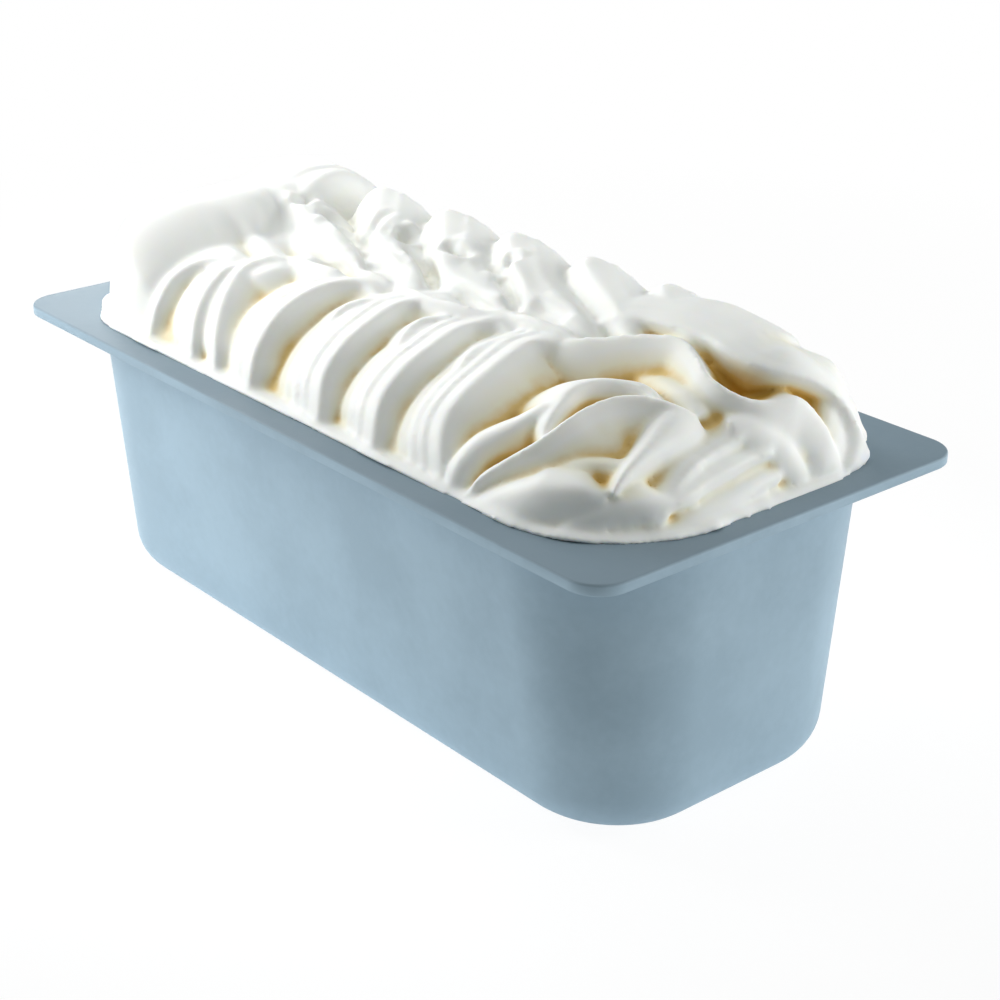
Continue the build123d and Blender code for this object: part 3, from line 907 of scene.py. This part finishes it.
def painted_crease_shade(mesh, settings):
    """Amount of painted crease shade: 0 on open surface to 1 deep in a crease.

    It joins two measures: how far a point lies under the surface that the crests touch, and how
    far a smoothed skin lies above the real one. The swirl holds more of the warm painted shade, and
    the back folds less.
    """
    points, edges = mesh_arrays(mesh)
    normals = vertex_normals(mesh)
    x, y, z = points.T
    under = (mound(x, y, settings) - (z - RIM)) * mound_normal(x, y, settings)[:, 2]
    deep = np.clip((under - DEEP_START * MM) / (DEEP_RUN * MM), 0, 1)
    hollow = np.zeros(len(points))
    for rounds, full in HOLLOWS:
        gap = ((relax(points, edges, rounds) - points) * normals).sum(axis=1)
        hollow += np.clip(gap / (full * MM), 0, 1) / len(HOLLOWS)
    crease = 0.5 * deep + 0.15 * hollow + 0.6 * deep * hollow
    swirl = ramp(x, 80, 20) * (1 - ramp(y, 30, 15))
    crease *= 1 + 0.2 * swirl - 0.85 * (1 - swirl) * ramp(y, -22, 14)
    # Painted shade: deep golden colour added round each listed hollow of the swirl.
    for *place, radius in PAINTED_HOLLOW_SHADE:
        gap = np.linalg.norm(points - (np.array(place) * MM + [0, 0, RIM]), axis=1)
        crease += HOLLOW_SHADE_AMOUNT * np.exp(-((gap / (radius * MM)) ** 2)) * np.clip(3 * deep, 0, 1)
    return relax(np.clip(crease, 0, 1)[:, None], edges, 2)[:, 0]


def folded_skin(settings, wall):
    """Skin of the heap: melted, relaxed, creased, held in the pan and cut flat under the rim."""
    raw = join_solids("heap_raw", [core_grid(settings)] + all_folds(settings))
    skin = melt_together(raw, settings.voxel)
    points, edges = mesh_arrays(skin)
    points = relax(points, edges, RELAX_ROUNDS)
    normals = vertex_normals(skin)
    for line, width, depth in CREASES:
        points = press_crease(points, normals, line, width, depth)
    points = hold_in_pan(relax(points, edges, RELAX_ROUNDS), wall)
    skin.vertices.foreach_set("co", points.ravel())
    cut_flat(skin, RIM - HEAP_FLOOR)
    # Painted shade: the crease attribute holds how much warm, darker colour each point takes.
    shade_tint = painted_crease_shade(skin, settings)
    skin.attributes.new("crease", "FLOAT", "POINT").data.foreach_set("value", shade_tint)
    return skin


def plain_fill(pan):
    """Rows of the fill inside the pan, from its rounded base up to the folded skin."""
    inset = pan.wall + FILL_GAP
    radius = pan.base_round - inset
    turn = np.linspace(0, np.pi / 2, 8)
    z = inset + radius * (1 - np.cos(turn))
    section = body_section(z, inset) - (radius * (1 - np.sin(turn)))[:, None]
    top = RIM - HEAP_FLOOR
    return np.concatenate([np.column_stack([section, z]), [np.append(body_section(top, inset), top)]])


class PAN_OT_ice_cream(bpy.types.Operator):
    """Adds the ice cream: folds and ribbons melted into one skin, on a plain fill"""

    bl_idname = "pan.ice_cream"
    bl_label = "Ice cream"

    def execute(self, context):
        settings = context.scene.heap_settings
        pan = context.scene.pan_settings
        material = dairy_ice_cream(settings)
        skin = folded_skin(settings, pan.wall)
        make_piece("ice_cream_heap", skin, material, "ice_cream")
        fill = join_solids("ice_cream_fill", [loft(plain_fill(pan))])
        make_piece("ice_cream_fill", fill, material, "ice_cream")
        return {"FINISHED"}


# ---------------------------------------------------------------- stage

CAMERA_TARGET = (0, 0, 60 * MM)
CAMERA_PAN, CAMERA_TILT = np.radians((-1.39, -0.21))
SENSOR_WIDTH = 36  # mm
FLOOR_HALF = 6.0
MIDDLE = (0, 0, 0.1)
LEFT_END = (-0.14, 0, 0.14)
# Square lamps: place, aim, size and watts.
LAMPS = {
    "key": ((-0.65, 0.05, 0.55), MIDDLE, 0.35, 1.95),
    "top": ((-0.1, -0.1, 1.1), MIDDLE, 0.7, 2.85),
    "left": ((-0.38, -0.28, 0.3), LEFT_END, 0.2, 1.3),
    "front": ((-0.8, -0.8, 0.15), MIDDLE, 0.5, 3.3),
    "back left": ((-0.8, 0.4, 0.35), MIDDLE, 0.4, 1.5),
    "back": ((0.3, 0.95, 0.35), MIDDLE, 0.5, 2.0),
    "right": ((0.8, 0.65, 0.3), MIDDLE, 0.5, 4.8),
    "top right": ((0.5, 0.15, 0.8), MIDDLE, 0.6, 0.6),
}


def level_axes(back):
    """Right and up of a camera or lamp that looks along -back without leaning."""
    right = np.cross([0, 0, 1], back)
    right /= np.linalg.norm(right)
    return right, np.cross(back, right)


def matrix_of(*columns):
    """Matrix whose columns are right, up, back and place."""
    matrix = Matrix.Identity(4)
    for k, column in enumerate(columns):
        for row in range(3):
            matrix[row][k] = column[row]
    return matrix


def camera_matrix(settings):
    """Camera's place and turn: back along azimuth and elevation, then a small pan and tilt."""
    az, el = settings.azimuth, settings.elevation
    back = np.array([np.sin(az) * np.cos(el), -np.cos(az) * np.cos(el), np.sin(el)])
    place = np.array(CAMERA_TARGET) + settings.distance * back
    right, up = level_axes(back)
    cos, sin = np.cos(CAMERA_PAN), np.sin(CAMERA_PAN)
    right, back = cos * right - sin * back, sin * right + cos * back
    cos, sin = np.cos(CAMERA_TILT), np.sin(CAMERA_TILT)
    up, back = cos * up - sin * back, sin * up + cos * back
    return matrix_of(right, up, back, place)


def soft_box(name, place, aim, size, power):
    """Square area lamp at place that points at aim."""
    lamp = bpy.data.lights.new(name, "AREA")
    lamp.size = size
    lamp.energy = power
    ob = bpy.data.objects.new(name, lamp)
    bpy.context.collection.objects.link(ob)
    back = np.array(place, float) - np.array(aim, float)
    back /= np.linalg.norm(back)
    ob.matrix_world = matrix_of(*level_axes(back), back, place)


def white_when_seen(tree, lit, share=None):
    """Mixes a lit shader with plain white for rays from the camera, by a share or wholly."""
    amount = add_node(tree, "ShaderNodeLightPath").outputs["Is Camera Ray"]
    if share is not None:
        amount = add_node(tree, "ShaderNodeMath", {0: amount, 1: share}, operation="MULTIPLY").outputs[0]
    white = add_node(tree, "ShaderNodeEmission", Color=(1, 1, 1, 1), Strength=1.0).outputs[0]
    return add_node(tree, "ShaderNodeMixShader", {0: amount, 1: lit, 2: white}).outputs[0]


def white_paper_sweep():
    """Background paper: matt and white, and to the camera whiter with distance from the pan.

    Close to the pan it glows a little, for the light that it would bounce up at the walls.
    """
    material, tree, shader, coords = new_material("white paper sweep")
    shader.inputs["Base Color"].default_value = linear("#F4F4F4")
    shader.inputs["Roughness"].default_value = 0.9
    shader.inputs["Emission Color"].default_value = linear("#F4F8FA")
    away = add_node(tree, "ShaderNodeVectorMath", {"Vector": coords}, operation="LENGTH").outputs["Value"]
    tree.links.new(map_range(tree, away, 0.1, 0.32, 0.6, 0.0), shader.inputs["Emission Strength"])
    share = map_range(tree, away, 0.3, 0.8, 0.88, 1.0)
    seen = white_when_seen(tree, shader.outputs[0], share)
    tree.links.new(seen, tree.nodes["Material Output"].inputs["Surface"])
    return material


class PAN_OT_stage(bpy.types.Operator):
    """Adds the floor, the lamps, the world and the camera"""

    bl_idname = "pan.stage"
    bl_label = "Stage"

    def execute(self, context):
        scene = context.scene
        corners = [(x * FLOOR_HALF, y * FLOOR_HALF, 0) for x, y in ((-1, -1), (1, -1), (1, 1), (-1, 1))]
        floor = bpy.data.objects.new("floor", make_mesh("floor", corners, [(0, 1, 2, 3)]))
        context.collection.objects.link(floor)
        floor.data.materials.append(white_paper_sweep())

        world = bpy.data.worlds.new("studio")
        scene.world = world
        world.use_nodes = True
        tree = world.node_tree
        background = tree.nodes["Background"]
        background.inputs["Color"].default_value = linear("#EDF6F3")
        background.inputs["Strength"].default_value = 0.21
        seen = white_when_seen(tree, background.outputs[0])
        tree.links.new(seen, tree.nodes["World Output"].inputs["Surface"])

        for name, lamp in LAMPS.items():
            soft_box(name, *lamp)

        settings = scene.stage_settings
        camera = bpy.data.cameras.new("camera")
        camera.lens = settings.lens
        camera.sensor_width = SENSOR_WIDTH
        ob = bpy.data.objects.new("camera", camera)
        context.collection.objects.link(ob)
        ob.matrix_world = camera_matrix(settings)
        scene.camera = ob
        scene.view_settings.view_transform = "Standard"
        return {"FINISHED"}


GROUPS = {"pan_settings": PanSettings, "heap_settings": HeapSettings, "stage_settings": StageSettings}


class PAN_PT_panel(bpy.types.Panel):
    """Lists the settings and the pieces"""

    bl_label = "Ice Cream Pan"
    bl_idname = "PAN_PT_panel"
    bl_space_type = "VIEW_3D"
    bl_region_type = "UI"
    bl_category = "Ice Cream Pan"

    def draw(self, context):
        for group in GROUPS:
            settings = getattr(context.scene, group)
            for name in settings.bl_rna.properties.keys():
                if name not in ("rna_type", "name"):
                    self.layout.prop(settings, name)
        for operator in (PAN_OT_tub, PAN_OT_ice_cream, PAN_OT_stage):
            self.layout.operator(operator.bl_idname)


CLASSES = (*GROUPS.values(), PAN_OT_tub, PAN_OT_ice_cream, PAN_OT_stage, PAN_PT_panel)


def register():
    for cls in CLASSES:
        bpy.utils.register_class(cls)
    for name, group in GROUPS.items():
        setattr(bpy.types.Scene, name, bpy.props.PointerProperty(type=group))


def unregister():
    for name in GROUPS:
        delattr(bpy.types.Scene, name)
    for cls in reversed(CLASSES):
        bpy.utils.unregister_class(cls)


def main():
    register()
    bpy.ops.pan.tub()
    bpy.ops.pan.ice_cream()
    bpy.ops.pan.stage()


if __name__ == "__main__":
    main()
